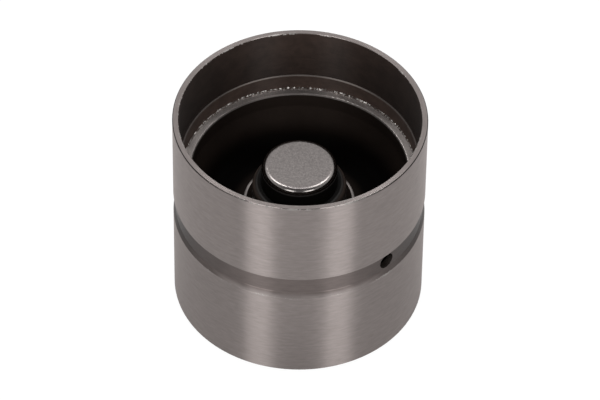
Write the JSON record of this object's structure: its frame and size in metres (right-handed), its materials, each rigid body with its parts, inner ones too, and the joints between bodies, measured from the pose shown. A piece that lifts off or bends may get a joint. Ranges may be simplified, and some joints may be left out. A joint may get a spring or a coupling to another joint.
{
  "type": "hydraulic bucket tappet",
  "caption": "Steel bucket tappet with an oil groove, a deep open skirt and a sprung round button that takes up valve lash.",
  "frame": {"origin": "centre of the cam face, on which it stands", "axes": "+Z along the bucket's axis, from the cam face to the skirt's rim; the oil hole is 45 degrees from +X towards -Y"},
  "size_m": [0.035, 0.035, 0.0322],
  "materials": {
    "ground_steel": "fine ground, satin",
    "dish_sheet": "dark heat-treated sheet, bright cut edge",
    "tube_steel": "dark, glossy",
    "button_steel": "fine matte face with a rounded bright edge",
    "piston_steel": "ground",
    "ball_steel": "polished",
    "cap_sheet": "drawn",
    "spring_steel": "oil tempered"
  },
  "bodies": {
    "bucket": {"bucket_shell": "ground_steel", "web_dish": "dish_sheet", "guide_tube": "tube_steel", "piston": "piston_steel", "valve_cap": "cap_sheet", "ball_spring": "spring_steel", "return_spring": "spring_steel"},
    "plunger": {"inner_housing": "button_steel", "retaining_ring": "spring_steel"},
    "ball": {"check_ball": "ball_steel"}
  },
  "joints": [
    {"name": "lash_slide", "type": "slide", "parent": "bucket", "child": "plunger", "axis": [0, 0, 1], "range_m": [-0.0026, 0], "stiffness_N_per_m": 3000, "springref_m": 0.004, "deforming": ["return_spring"]},
    {"name": "ball_lift", "type": "slide", "parent": "bucket", "child": "ball", "axis": [0, 0, 1], "range_m": [0, 0.00025], "stiffness_N_per_m": 150, "springref_m": -0.002, "deforming": ["ball_spring"]}
  ]
}
